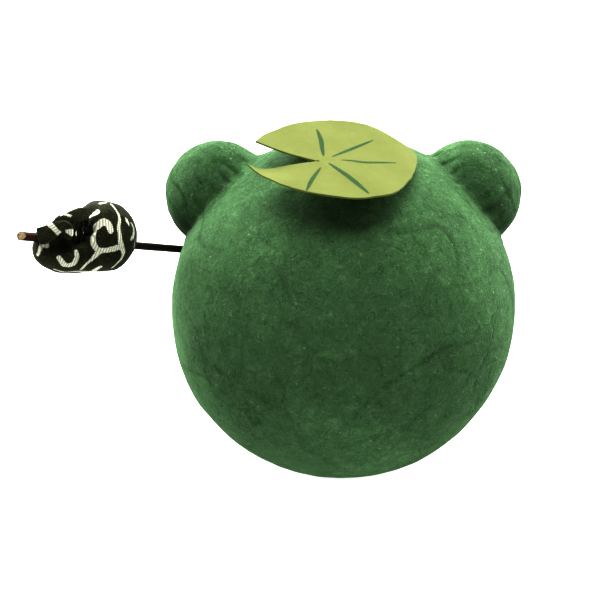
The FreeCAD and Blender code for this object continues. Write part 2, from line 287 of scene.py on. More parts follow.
def leaf_material():
    m = Nodes("leaf_paper", Roughness=0.78, Specular_IOR_Level=0.3)
    tone = m.noise(m.place(0.16), 4.0, 0.3, 0.6)
    grain = m.noise(m.place(2.2), 3.0, 0.0, 0.6)
    colour = m.mix(m.ramp(tone, 0.3, 0.72), (0.172, 0.194, 0.053), (0.185, 0.209, 0.061))
    colour = m.mix(m.times(m.ramp(grain, 0.45, 0.72), 0.25), colour, (0.155, 0.180, 0.055))
    fibres = m.most(m.threads(0.7, 0.016, 2.0, 0.52), m.threads(0.45, 0.01, 5.0, 0.55))
    colour = m.mix(m.times(fibres, 0.25), colour, (0.26, 0.29, 0.13))
    flecks = m.threads(0.9, 0.012, 9.0, 0.6)
    colour = m.mix(m.times(flecks, 0.35), colour, (0.13, 0.18, 0.03))
    rim = m.ramp(m.attribute("rim"), 0.5, 0.95)
    colour = m.mix(m.times(rim, 0.3), colour, (0.15, 0.19, 0.05))
    ragged = m.times(m.minus(m.noise(m.place(2.6), 3.0), 0.5), 0.35)
    vein = m.ramp(m.plus(m.attribute("vein"), ragged), -0.12, 0.12, 1.0, 0.0)
    paint = m.mix(m.ramp(m.noise(m.place(0.9), 4.0), 0.35, 0.7), (0.022, 0.070, 0.020), (0.036, 0.100, 0.030))
    colour = m.mix(m.times(vein, 0.95), colour, paint)
    height = m.plus(grain, m.times(fibres, 0.3))
    height = m.plus(height, m.times(vein, 0.3))
    return m.done(colour, m.bump(height, 0.35, 0.18))


# the distance between two threads of the cloth, each way
WARP_PITCH, WEFT_PITCH = 0.72, 0.52


def cloth_material():
    """Slubby cotton with a resist pattern of curls; warp and weft run along the cloth's own coordinates."""
    sheen = {"Sheen_Weight": 0.12, "Sheen_Roughness": 0.4}
    m = Nodes("karakusa_cloth", Roughness=0.95, Specular_IOR_Level=0.15, **sheen)
    uv = m.add("UVMap", props={"uv_map": "cloth"})
    split = m.tree.nodes.new("ShaderNodeSeparateXYZ")
    wander = m.noise(m.place(0.5), 2.0)
    m.put(split.inputs[0], uv)
    jitter = m.times(m.minus(wander, 0.5), 0.5)
    across = m.plus(m.times(split.outputs[0], 1 / WARP_PITCH), jitter)
    along = m.plus(m.times(split.outputs[1], 1 / WEFT_PITCH), jitter)
    warp = m.math("SINE", m.times(across, 2 * math.pi))
    weft = m.math("SINE", m.times(along, 2 * math.pi))
    slub = m.noise(m.place(1.1), 4.0, 0.2, 0.7)
    tone = m.noise(m.place(0.22), 4.0, 0.3, 0.6)
    dark = m.mix(m.ramp(tone, 0.3, 0.7), (0.015, 0.019, 0.008), (0.036, 0.042, 0.018))
    thread = m.ramp(m.plus(warp, m.times(weft, 0.7)), -1.0, 1.6)
    dark = m.mix(m.times(thread, 0.40), dark, (0.058, 0.063, 0.032))
    dark = m.mix(m.times(m.ramp(slub, 0.50, 0.72), 0.65), dark, (0.105, 0.112, 0.055))
    white = m.mix(m.ramp(warp, -0.9, 0.2), (0.47, 0.47, 0.37), (0.88, 0.88, 0.76))
    white = m.mix(m.times(m.ramp(slub, 0.35, 0.62, 1.0, 0.0), 0.35), white, (0.42, 0.41, 0.33))
    steps = m.times(m.plus(weft, m.times(warp, 0.6)), 0.06)
    bleed = m.times(m.minus(m.noise(m.place(1.3), 3.0), 0.5), 0.35)
    edge = m.plus(m.attribute("curl"), m.plus(steps, bleed))
    curl = m.ramp(edge, -0.09, 0.09, 1.0, 0.0)
    colour = m.mix(curl, dark, white)
    # a thin brown line where the dye has bled along the curl's edge
    fringe = m.ramp(m.math("ABSOLUTE", m.minus(edge, 0.12)), 0.0, 0.16, 1.0, 0.0)
    colour = m.mix(m.times(fringe, 0.3), colour, (0.11, 0.075, 0.02))
    # painted shadow: near black in the folds round the pinch
    hollow_shadow = m.ramp(m.attribute("hollow_shadow"), 0.0, 1.0)
    colour = m.mix(m.times(hollow_shadow, 0.75), colour, (0.004, 0.005, 0.003))
    height = m.plus(m.times(warp, 0.5), m.times(weft, 0.35))
    height = m.plus(height, m.times(slub, 1.2))
    return m.done(colour, m.bump(height, 0.5, 0.10))


def bamboo_material():
    coat = {"Coat_Weight": 0.06, "Coat_Roughness": 0.4}
    m = Nodes("lacquered_bamboo", Roughness=0.6, Specular_IOR_Level=0.2, **coat)
    rod = m.add("UVMap", props={"uv_map": "rod"})
    grain = m.noise(m.add("Mapping", Vector=rod, Scale=(14.0, 0.5, 1.0)), 4.0)
    tip = m.attribute("tip")
    colour = m.mix(m.ramp(grain, 0.3, 0.75), (0.012, 0.010, 0.009), (0.034, 0.026, 0.023))
    brown = m.mix(m.ramp(grain, 0.35, 0.7), (0.020, 0.006, 0.005), (0.085, 0.030, 0.020))
    colour = m.mix(m.ramp(tip, 0.25, 0.8), colour, brown)
    pith = m.mix(m.ramp(m.noise(m.place(2.5), 4.0), 0.35, 0.7), (0.34, 0.24, 0.12), (0.62, 0.52, 0.32))
    colour = m.mix(m.ramp(m.attribute("cut"), 0.35, 0.75), colour, pith)
    worn = m.ramp(m.noise(m.place(0.9), 5.0), 0.62, 0.8)
    rough = m.ramp(worn, 0.0, 1.0, 0.52, 0.7)
    return m.done(colour, m.bump(grain, 0.25, 0.08), rough)


GREEN = washi(
    "green_washi", (0.047, 0.106, 0.044), (0.088, 0.178, 0.081), (0.142, 0.272, 0.130), (0.28, 0.45, 0.25)
)
PALE = washi(
    "pale_washi", (0.162, 0.170, 0.100), (0.190, 0.196, 0.124), (0.212, 0.216, 0.146), (0.24, 0.24, 0.19), 0.6
)
RAW = plain_paper("raw_paper", (0.42, 0.37, 0.27), (0.60, 0.55, 0.43))
WHITE = plain_paper("white_paper", (0.195, 0.190, 0.174), (0.222, 0.219, 0.205))
BLACK = plain_paper("black_paper", (0.006, 0.006, 0.007), (0.014, 0.014, 0.015))
LEAF = leaf_material()
CLOTH = cloth_material()
BAMBOO = bamboo_material()


def clay_material():
    m = Nodes("clay", Roughness=0.95)
    tone = m.noise(m.place(0.2), 6.0, 0.5, 0.7)
    colour = m.mix(m.ramp(tone, 0.3, 0.7), (0.16, 0.10, 0.065), (0.34, 0.24, 0.165))
    return m.done(colour, m.bump(tone, 0.7, 0.6))


def thread_material(name, dark, light):
    m = Nodes(name, Roughness=0.9)
    tone = m.noise(m.place(1.6), 4.0, 0.4, 0.6)
    colour = m.mix(m.ramp(tone, 0.3, 0.7), dark, light)
    return m.done(colour, m.bump(tone, 0.6, 0.12))


CLAY = clay_material()
THREAD = thread_material("dark_thread", (0.010, 0.013, 0.007), (0.040, 0.046, 0.024))
COTTON = thread_material("cotton", (0.62, 0.58, 0.48), (0.82, 0.80, 0.72))
NODE_MATERIALS = {
    "core_front": RAW,
    "core_rear": RAW,
    "seam_strip": RAW,
    "weight_cover": RAW,
    "clay_weight": CLAY,
    "base_patch": GREEN,
    "eye_dome_left": RAW,
    "eye_dome_right": RAW,
    "leaf_pad": RAW,
    "pole_socket": RAW,
    "socket_plug": RAW,
}
for node, material in NODE_MATERIALS.items():
    mesh = frame["nodes"][node].data
    mesh.materials.clear()
    mesh.materials.append(material)

# ---------------- mesh helpers


def make_object(name, points, faces, material, body, attributes=None, uv=None, uv_name="cloth"):
    """A smooth-shaded mesh from points in mm."""
    mesh = bpy.data.meshes.new(name)
    mesh.from_pydata((np.asarray(points) * MM).tolist(), [], [list(map(int, f)) for f in faces])
    mesh.polygons.foreach_set("use_smooth", [True] * len(mesh.polygons))
    for key, values in (attributes or {}).items():
        layer = mesh.attributes.new(key, "FLOAT", "POINT")
        layer.data.foreach_set("value", np.asarray(values, np.float32))
    if uv is not None:
        layer = mesh.uv_layers.new(name=uv_name)
        index = np.zeros(len(mesh.loops), np.int32)
        mesh.loops.foreach_get("vertex_index", index)
        layer.data.foreach_set("uv", np.asarray(uv, np.float32)[index].ravel())
    mesh.materials.append(material)
    mesh.update()
    obj = bpy.data.objects.new(name, mesh)
    bpy.context.scene.collection.objects.link(obj)
    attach(obj, body)
    return obj


def ball_mesh(subdivisions, refine=()):
    """Directions and triangles of a geodesic sphere, finer within some angle of given directions."""
    bm = bmesh.new()
    bmesh.ops.create_icosphere(bm, subdivisions=subdivisions, radius=1)
    for toward, degrees in refine:
        bm.verts.ensure_lookup_table()
        limit = math.cos(math.radians(degrees))
        near = [e for e in bm.edges if max(np.dot(v.co.normalized(), toward) for v in e.verts) > limit]
        bmesh.ops.subdivide_edges(bm, edges=near, cuts=1, use_grid_fill=True)
    bmesh.ops.triangulate(bm, faces=bm.faces[:])
    points = unit(np.array([v.co[:] for v in bm.verts]))
    bm.verts.index_update()
    faces = np.array([[v.index for v in f.verts] for f in bm.faces])
    bm.free()
    return points, faces


def faces_outward(obj, sharpest=None):
    """Turns every face outwards, and marks the edges that bend by more than sharpest as sharp."""
    bm = bmesh.new()
    bm.from_mesh(obj.data)
    bmesh.ops.recalc_face_normals(bm, faces=bm.faces[:])
    for e in bm.edges:
        if sharpest and len(e.link_faces) == 2 and e.calc_face_angle() > sharpest:
            e.smooth = False
    bm.to_mesh(obj.data)
    bm.free()


def gradient(field, p):
    """The direction in which a field grows fastest."""
    axes = np.eye(3) * 0.15
    return unit(np.stack([field(p + a) - field(p - a) for a in axes], 1))


def march(field, start, toward, reach, steps, share):
    """Where rays from start meet a field's surface, coming inwards from reach by a share of its value."""
    along = np.full(len(toward), reach)
    for _ in range(steps):
        along -= field(start + toward * along[:, None]) * share
    return start + toward * along[:, None]


def grid_faces(rows, columns, closed=False):
    """Quads of a grid of points in row order; closed joins the last column to the first."""
    faces = []
    for i in range(rows - 1):
        for j in range(columns if closed else columns - 1):
            k = (j + 1) % columns
            faces.append((i * columns + j, i * columns + k, (i + 1) * columns + k, (i + 1) * columns + j))
    return faces


def spline(points, count):
    """Points evenly spread along a smooth curve through the given ones."""
    points = np.asarray(points, float)
    padded = np.concatenate([2 * points[:1] - points[1:2], points, 2 * points[-1:] - points[-2:-1]])
    fine = []
    for i in range(1, len(padded) - 2):
        p0, p1, p2, p3 = padded[i - 1 : i + 3]
        t = np.linspace(0, 1, 24, endpoint=False)[:, None]
        curve = 2 * p1 + (p2 - p0) * t + (2 * p0 - 5 * p1 + 4 * p2 - p3) * t**2
        fine.append((curve + (3 * p1 - p0 - 3 * p2 + p3) * t**3) / 2)
    fine = np.concatenate([*fine, points[-1:]])
    steps = np.concatenate([[0], np.cumsum(np.linalg.norm(np.diff(fine, axis=0), axis=1))])
    even = np.linspace(0, steps[-1], count)
    return np.stack([np.interp(even, steps, fine[:, k]) for k in range(points.shape[1])], 1)


def distance_to_path(p, path):
    """Distance of each point to a polyline, and how far along the polyline it is, 0 to 1."""
    best, where = np.full(len(p), 1e9), np.zeros(len(p))
    for i in range(len(path) - 1):
        a, b = path[i], path[i + 1]
        ab = b - a
        t = np.clip((p - a) @ ab / max(ab @ ab, 1e-9), 0, 1)
        d = np.linalg.norm(p - (a + t[:, None] * ab), axis=1)
        closer = d < best
        best[closer] = d[closer]
        where[closer] = (i + t[closer]) / (len(path) - 1)
    return best, where


# ---------------- paper skin


def blend_min(a, b, k):
    h = np.clip(0.5 + 0.5 * (b - a) / k, 0, 1)
    return b * (1 - h) + a * h - k * h * (1 - h)


def skin_field(p):
    """Below 0 inside the ball with its two domes; p is from the ball's centre."""
    field = np.linalg.norm(p, axis=1) - BALL_R
    for centre in (DOME_L, DOME_Rt):
        dome = np.linalg.norm(p - centre, axis=1) - DOME_R
        k = 1.0 + 1.6 * smooth(p[:, 2] - centre[2], -6, 10)
        field = blend_min(dome, field, k)
    return field


# the skin never sinks by more than this, so that it always covers the board under it
LEAST_COVER = 0.32


def ridges(turn, sharp=0.55):
    """Narrow creases, 0 on a crease and 1 between two, as turn goes round."""
    return np.abs(np.sin(turn)) ** sharp


def gathers(p, centre, seed, painted_shade):
    """The creases round a dome's foot and the wrinkles on its crown: their rise, and the shade painted in
    them and on the foot's lower side.
    """
    axis = unit(centre)
    east = unit(np.cross(axis, (0, 0, 1)))
    north = np.cross(east, axis)
    q = p - centre
    around = np.arctan2(q @ north, q @ east)
    # below 0 on the ball, above 0 on the dome
    past_joint = (np.linalg.norm(p, axis=1) - BALL_R) - (np.linalg.norm(q, axis=1) - DOME_R)
    near = np.linalg.norm(q, axis=1) < DOME_R + 9
    turn = 8.5 * around + 1.6 * np.sin(2 * around + seed) + 0.9 * np.sin(5 * around + 2 * seed)
    turn += 0.10 * past_joint + 0.5 * field_noise(p, 60 + seed, 11)
    patchy = smooth(field_noise(p, 62 + seed, 15), -0.5, 0.7)
    on_dome = np.exp(-(((past_joint - 1.2) / 3.4) ** 2))
    on_ball = np.exp(-(((past_joint + 2.2) / 2.6) ** 2))
    pleat, tuck = 1 - ridges(turn), 1 - ridges(0.7 * turn + 1)
    rise = on_dome * (0.34 - 0.66 * pleat) * (0.35 + 0.65 * patchy)
    rise += on_ball * (0.20 - 0.42 * tuck) * patchy
    # a soft lip where the dome's sheet was pressed down on the ball
    lip = np.exp(-(((past_joint + 1.5) / 0.9) ** 2))
    rise += 0.30 * lip * smooth(field_noise(p, 64 + seed, 20), -0.4, 0.4)
    crown = smooth(past_joint, 2, 7)
    crumple = 1 - smooth(np.abs(field_noise(p, 66 + seed, 13, 9)), 0.0, 0.16)
    wrinkled = crown * smooth(field_noise(p, 68 + seed, 18), -0.5, 0.3)
    rise += (0.10 - 0.34 * crumple) * wrinkled + 0.16 * crown * field_noise(p, 69 + seed, 7)
    # painted shade in the pleats, the tucks and the crown's crumples
    crease_shade = np.maximum(on_dome * pleat * (0.4 + 0.6 * patchy), 0.7 * on_ball * tuck * patchy)
    crease_shade = np.maximum(crease_shade, 0.6 * crumple * wrinkled)
    # painted shade on the lower side of the dome's foot
    foot = np.exp(-(((past_joint - 2.5) / 5.5) ** 2)) * smooth(-(q @ north), -3, 9)
    return rise * near, np.maximum(crease_shade, painted_shade * foot) * near


def hand_made(p):
    """How far the pasted paper stands proud of the true form, and how much shade is painted in its creases.
    """
    rise = 0.10 + 0.22 * field_noise(p, 3, 42) + 0.15 * field_noise(p, 4, 15) + 0.055 * field_noise(p, 5, 5.5)
    # one flank is fuller than a true ball
    bulge = unit(-0.72 * RIGHT - 0.62 * UP + 0.2 * TOWARD)
    rise += 0.65 * smooth(unit(p) @ bulge, 0.55, 1.0)
    # soft creases where the sheets were drawn together, with painted shade in them
    crease = np.abs(field_noise(p, 8, 30, 8))
    creased = (1 - smooth(crease, 0.0, 0.07)) * smooth(field_noise(p, 9, 40), -0.2, 0.5)
    rise -= 0.22 * creased
    crease_shade = 0.5 * creased
    # the painted shade at the foot is stronger on the left dome than on the right
    for centre, seed, painted_shade in ((DOME_L, 1, 1.25), (DOME_Rt, 4, 0.75)):
        more, more_crease_shade = gathers(p, centre, seed, painted_shade)
        rise += more
        crease_shade = np.maximum(crease_shade, more_crease_shade)
    return np.clip(rise, -LEAST_COVER, 1.2), crease_shade


def on_skin(start, toward):
    """Where rays from start, going outwards, leave the paper skin, and the shade painted on it there."""
    p = march(skin_field, start, toward, 80.0, 70, 0.8)
    rise, crease_shade = hand_made(p)
    return p + gradient(skin_field, p) * rise[:, None], crease_shade


def paper_skin():
    toward, faces = ball_mesh(7, [(unit(DOME_L), 24), (unit(DOME_Rt), 24)])
    p, crease_shade = on_skin(np.zeros(3), toward)
    p += BALL
    p[:, 2] = np.maximum(p[:, 2], FOOT_Z)
    # the crease attribute holds the painted shade in the creases and at the domes' feet
    skin = make_object("paper_skin", p, faces, GREEN, "body", {"crease": crease_shade})
    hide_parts("skin_front", "skin_rear", "dome_skin_left", "dome_skin_right")


paper_skin()


# ---------------- face

# how far each pasted round reaches from its middle, as an angle at the centre of its dome or of the ball
EYE_WHITE, PUPIL, BELLY_PATCH = math.radians(32), math.radians(16.5), math.radians(35.5)
NOSTRIL_R = 0.9


def disc(name, start, toward, radius, lift, thick, material, node, seed, ragged, rings=28):
    """A round of pasted paper that follows the skin. start is from the ball's centre, radius in radians."""
    toward = unit(toward)
    east = unit(np.cross(toward, (0, 0, 1)))
    north = np.cross(east, toward)
    turns = np.linspace(0, 2 * math.pi, 120, endpoint=False)
    rng = np.random.default_rng(seed)
    outline = np.ones(len(turns))
    for k in range(2, 14):
        outline += ragged * rng.normal() / k**0.6 * np.sin(k * turns + rng.uniform(0, 6.28))
    rows = [
        (0.02 + 0.98 * i / rings, lift + thick * min(1, (rings - i) / 1.5)) for i in range(rings + 1)
    ] + [(1.0, lift - 0.15)]
    points = []
    for share, up in rows:
        angle = radius * share * outline
        way = (
            toward * np.cos(angle)[:, None]
            + (east * np.cos(turns)[:, None] + north * np.sin(turns)[:, None]) * np.sin(angle)[:, None]
        )
        on = on_skin(start, way)[0]
        points.append(on + gradient(skin_field, on) * up + BALL)
    centre = points[0].mean(0)
    points = np.concatenate([*points, centre[None]])
    faces = [tuple(reversed(f)) for f in grid_faces(len(rows), len(turns), True)]
    last = len(points) - 1
    faces += [(last, i, (i + 1) % len(turns)) for i in range(len(turns))]
    obj = make_object(name, points, faces, material, "body")
    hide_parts(node)


def face_parts():
    low, high = corners("eye_white_left")
    white_mid = (low + high) / 2 - BALL
    gaze = unit(white_mid - DOME_L)
    for side, centre in (("left", DOME_L), ("right", DOME_Rt)):
        way = gaze * ((1, 1, 1) if side == "left" else (-1, 1, 1))
        disc(
            f"eye_paper_{side}", centre, way, EYE_WHITE, 0.02, 0.26, WHITE,
            f"eye_white_{side}", 21, 0.012,
        )
        disc(
            f"pupil_paper_{side}", centre, way, PUPIL, 0.28, 0.2, BLACK,
            f"pupil_{side}", 22, 0.012,
        )
    low, high = corners("belly_patch")
    belly = (low + high) / 2 - BALL
    disc(
        "belly_paper", np.zeros(3), belly * (0, 1, 1), BELLY_PATCH, 0.02, 0.22, PALE,
        "belly_patch", 23, 0.022, 40,
    )


def ribbon_on_skin(name, path, half_width, lift, material, node):
    """A brush-like strip along directions from the ball's centre; it narrows to its ends."""
    path = unit(spline(path, 90))
    run = unit(np.gradient(path, axis=0))
    across = unit(np.cross(path, run))
    share = np.linspace(0, 1, len(path))
    width = half_width * (0.30 + 0.70 * np.sin(math.pi * share) ** 0.5) * (1 + 0.05 * np.sin(17 * share))
    lanes = [(-1.0, -0.12), (-0.9, lift), (-0.4, lift + 0.05), (0.4, lift + 0.05), (0.9, lift), (1.0, -0.12)]
    points = []
    for at, up in lanes:
        way = unit(path * BALL_R + across * (width * at)[:, None])
        on = on_skin(np.zeros(3), way)[0]
        points.append(on + way * up + BALL)
    faces = grid_faces(len(lanes), len(path))
    obj = make_object(name, np.concatenate(points), faces, material, "body")
    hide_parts(node)


def mouth_and_nostrils():
    low, high = corners("mouth_strip")
    half = (high[0] - low[0]) / 2 - 0.6
    top, bottom = high[2] - 0.7 - BALL[2], low[2] + 0.7 - BALL[2]
    smile = []
    for x in np.linspace(-half, half, 9):
        z = bottom + (top - bottom) * (abs(x) / half) ** 2.1
        smile.append((x, -math.sqrt(BALL_R**2 - x * x - z * z), z))
    ribbon_on_skin("mouth_line", smile, 0.75, 0.12, BLACK, "mouth_strip")
    low, high = corners("nostrils")
    x, z = (high[0] - low[0]) / 2 - 0.8, (high[2] + low[2]) / 2 - BALL[2]
    for name, side in (("nostril_right", -1), ("nostril_left", 1)):
        middle = np.array([side * x, -math.sqrt(BALL_R**2 - x * x - z * z), z])
        disc(
            name, np.zeros(3), middle, NOSTRIL_R / BALL_R, 0.02, 0.14, BLACK,
            "nostrils", 31 + side, 0.03, 8,
        )


face_parts()
mouth_and_nostrils()

# ---------------- lily leaf

LEAF_BACK, LEAF_SIDE = math.radians(4.7), math.radians(3.3)
LEAF_OFF = np.array([5.8, 5.7])
LEAF_LIFT = BALL_R + 1.0
LEAF_T = 0.5
# the cut outline, from one tip of the notch round to the other: heading in degrees, and radius
LEAF_EDGE = [
    (168, 21.8), (150, 21.6), (128, 21.9), (110, 22.6), (94, 23.2), (80, 23.2), (63, 23.1), (39, 23.0),
    (22, 24.7), (14, 24.2), (-8, 22.7), (-28, 22.8), (-46, 24.6), (-54, 25.2), (-62, 25.0), (-74, 24.6),
    (-98, 23.1), (-120, 22.5), (-131, 22.5), (-141, 22.9), (-149, 23.6), (-155, 25.1),
]
NOTCH = np.array([-4.0, -3.6])
VEINS = [
    ([(-2.5, -0.2), (-2.9, 4.0), (-3.4, 10.0), (-4.6, 16.2)], 0.66),
    ([(0.0, -0.4), (5.3, 5.0), (11.2, 11.3)], 0.62),
    ([(2.5, -2.2), (5.6, -2.4), (9.6, -2.9), (17.4, -0.6)], 0.56),
    ([(-0.8, -4.8), (4.4, -12.0), (9.6, -20.8)], 0.78),
    ([(-3.2, -7.6), (-5.2, -14.5), (-6.6, -21.6)], 0.58),
]


def leaf_height(x, y):
    """The leaf lies flat on its pad, droops on one side, and curls up with one dip on the notch's side."""
    z = -np.maximum(x - 8, 0) ** 2 / 110 + np.maximum(-9 - x, 0) ** 2 / 150
    near = smooth(-y, 1, 9)
    z -= 1.1 * near * np.exp(-(((x + 17) / 6) ** 2) - ((y + 9) / 6) ** 2)
    z += 0.75 * near * smooth(-x, 19.8, 23)
    return z + 0.12 * np.sin(0.31 * x + 0.2 * y + 1) * smooth(np.hypot(x, y), 6, 20)


def leaf_to_row(points):
    """From leaf coordinates (x to the frog's right, y to its front) to the row frame."""
    p = np.stack([-points[:, 0] + LEAF_OFF[0], -points[:, 1] + LEAF_OFF[1], points[:, 2] + LEAF_LIFT], 1)
    turn = np.array(Matrix.Rotation(-LEAF_SIDE, 3, "Y") @ Matrix.Rotation(-LEAF_BACK, 3, "X"))
    return p @ turn.T + BALL


def lily_leaf():
    angles = np.radians([a for a, _ in LEAF_EDGE])
    edge = np.stack([np.cos(angles), np.sin(angles)], 1) * np.array([r for _, r in LEAF_EDGE])[:, None]
    edge = spline(edge, 420)
    rng = np.random.default_rng(5)
    share = np.linspace(0, 1, len(edge))
    wobble = sum(
        0.05 * rng.normal() * np.sin(2 * math.pi * k * share + rng.uniform(0, 6)) for k in range(8, 40, 3)
    )
    edge += unit(edge) * (wobble * 0.6)[:, None]
    rows = np.concatenate([np.linspace(0.0, 0.93, 62)[1:], [0.955, 0.975, 0.99, 1.0]])
    flat, rim = [], []
    for s in rows:
        p = NOTCH + (edge - NOTCH) * s
        flat.append(p)
        rim.append(np.full(len(p), 0.0 if s < 0.99 else (0.5 if s < 1 else 1.0)))
    flat, rim = np.concatenate(flat), np.concatenate(rim)
    vein = np.full(len(flat), 9.0)
    for line, half in VEINS:
        path = spline(line, 40)
        d, along = distance_to_path(flat, path)
        width = half * np.sin(math.pi * np.clip(0.06 + 0.88 * along, 0, 1)) ** 0.6
        vein = np.minimum(vein, d - width)
    z = leaf_height(flat[:, 0], flat[:, 1])
    columns = len(edge)
    top = np.column_stack([flat, z + LEAF_T])
    under = np.column_stack([flat, z])
    faces = grid_faces(len(rows), columns)
    count = len(flat)
    tris = [tuple(reversed(f)) for f in faces] + [tuple(i + count for i in f) for f in faces]
    ring = [(len(rows) - 1) * columns + j for j in range(columns)]
    ring = [i * columns for i in range(len(rows))] + ring[1:]
    ring += [i * columns + columns - 1 for i in range(len(rows) - 2, -1, -1)]
    for a, b in zip(ring, ring[1:] + ring[:1]):
        tris.append((a, b, b + count, a + count))
    points = leaf_to_row(np.concatenate([top, under]))
    leaf = make_object(
        "lily_leaf", points, tris, LEAF, "body",
        {"vein": np.concatenate([vein, np.full(count, 9.0)]), "rim": np.tile(rim, 2)},
    )
    faces_outward(leaf, 0.9)
    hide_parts("leaf_hat")


lily_leaf()

# ---------------- pole

POLE_R, POLE_SWELL = 1.05, 0.18


def bamboo_pole():
    start, end = -22.0, 54.4
    along = np.concatenate([np.linspace(start, end - 4, 90), np.linspace(end - 4, end, 40)[1:]])
    turns = np.linspace(0, 2 * math.pi, 40, endpoint=False)
    points, tips, cuts, uv = [], [], [], []
    # the plane of the slanted cut, which faces up, back and out
    face = unit(POLE_DIR * 0.62 + POLE_LIFT * 0.42 - POLE_SIDE * 0.66)
    edge = on_pole(end - 0.45)
    for a in along:
        radius = POLE_R + POLE_SWELL * smooth(a, 0, 50) + 0.012 * math.sin(a * 0.7)
        radius *= math.sqrt(max(0.0, 1 - smooth(a, end - 0.9, end + 0.25) ** 2))
        ring = on_pole(a, radius * np.sin(turns), radius * np.cos(turns))
        over = (ring - edge) @ face
        cut = np.maximum(over, 0)
        ring = ring - face * cut[:, None]
        points.append(ring)
        tips.append(np.full(len(turns), smooth(a, end - 8, end - 4.5)))
        cuts.append(smooth(over, 0.04, 0.24))
        uv.append(np.stack([turns / (2 * math.pi), np.full(len(turns), a / 10)], 1))
    first, last = on_pole(start), points[-1].mean(0)
    count = sum(len(p) for p in points)
    points = np.concatenate([*points, first[None], last[None]])
    faces = [tuple(reversed(f)) for f in grid_faces(len(along), len(turns), True)]
    n = len(turns)
    faces += [(count, (j + 1) % n, j) for j in range(n)]
    faces += [(count + 1, count - n + j, count - n + (j + 1) % n) for j in range(n)]
    tips = np.concatenate([*tips, [0, 1]])
    cuts = np.concatenate([*cuts, [0, 1]])
    uv = np.concatenate([*uv, [[0, 0], [0, 0]]])
    layers = {"tip": tips, "cut": cuts}
    pole = make_object("bamboo_pole", points, faces, BAMBOO, "pole", layers, uv, "rod")
    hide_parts("pole")


bamboo_pole()

# ---------------- bundle

BAG, LOBE = on_pole(28.2, 2.0), on_pole(37.8, -2.6)
LOBE_TIP = math.radians(-4)
LOBE_DIR = unit(POLE_DIR * math.cos(LOBE_TIP) + POLE_LIFT * math.sin(LOBE_TIP))
# half the length and half the width of each
BAG_R, LOBE_R = (9.6, 10.1), (10.8, 6.9)
HEART = on_pole(32.6, -0.6)
PINCH = on_pole(39.0, 4.6, -4.2)
# where the cloth is drawn in: at the pinch, beside the ears, and in the mouth under them; centre and radius
HOLLOWS = [
    (PINCH, 4.2), (on_pole(39.6, 8.9, -5.0), 3.6), (on_pole(43.7, 0.6, -6.4), 3.5),
    (on_pole(49.0, 3.2, -6.2), 3.4), (on_pole(36.8, 10.6, -1.6), 2.6),
]
VIEW = unit(CAMERA - BAG)
VIEW_RIGHT = unit(np.cross(UP, VIEW))
VIEW_UP = np.cross(VIEW, VIEW_RIGHT)


def bag_field(p):
    """Below 0 inside the stuffed bag and its lobe; p is in the row frame."""

    def spheroid(centre, axis, long_r, wide_r):
        q = p - centre
        a = q @ axis
        w = np.linalg.norm(q - a[:, None] * axis, axis=1)
        reach = np.sqrt((a / long_r) ** 2 + (w / wide_r) ** 2)
        return (reach - 1) * min(long_r, wide_r)

    field = blend_min(spheroid(BAG, POLE_DIR, *BAG_R), spheroid(LOBE, LOBE_DIR, *LOBE_R), 3.0)
    for centre, radius in HOLLOWS:
        field = -blend_min(-field, np.linalg.norm(p - centre, axis=1) - radius, 1.6)
    return field


def cloth_folds(p):
    """Folds that run away from the pinch, and soft dents."""
    q = p - PINCH
    far = np.linalg.norm(q, axis=1)
    way = unit(HEART - PINCH)
    east = unit(np.cross(way, POLE_DIR))
    north = np.cross(way, east)
    around = np.arctan2(q @ north, q @ east)
    turn = 6 * around + 1.1 * np.sin(2 * around) + 0.7 * np.sin(3 * around + 2) + 0.10 * far
    fold = np.sin(turn) * np.exp(-(((far - 4) / 4.5) ** 2))
    return 0.42 * fold + 0.16 * field_noise(p, 41, 9) + 0.06 * field_noise(p, 42, 4)


def on_bag(toward, inset=0.0):
    """Where rays from the bag's heart leave its cloth, or a layer some way inside it."""
    p = march(bag_field, HEART, toward, 30.0, 80, 0.6)
    normal = gradient(bag_field, p)
    return p + normal * (cloth_folds(p) - inset)[:, None]


def seen_to_bag(points, surface):
    """Lifts a drawn line (right and up in mm, as seen from behind) onto the near side of the cloth."""
    q = surface - PATTERN_AT
    flat = np.stack([q @ VIEW_RIGHT, q @ VIEW_UP, q @ VIEW], 1)
    near = flat[:, 2] > -3
    lifted = []
    for x, y in points:
        d = np.hypot(flat[:, 0] - x, flat[:, 1] - y) - 0.02 * flat[:, 2] + 100 * ~near
        lifted.append(surface[np.argmin(d)])
    return np.array(lifted)


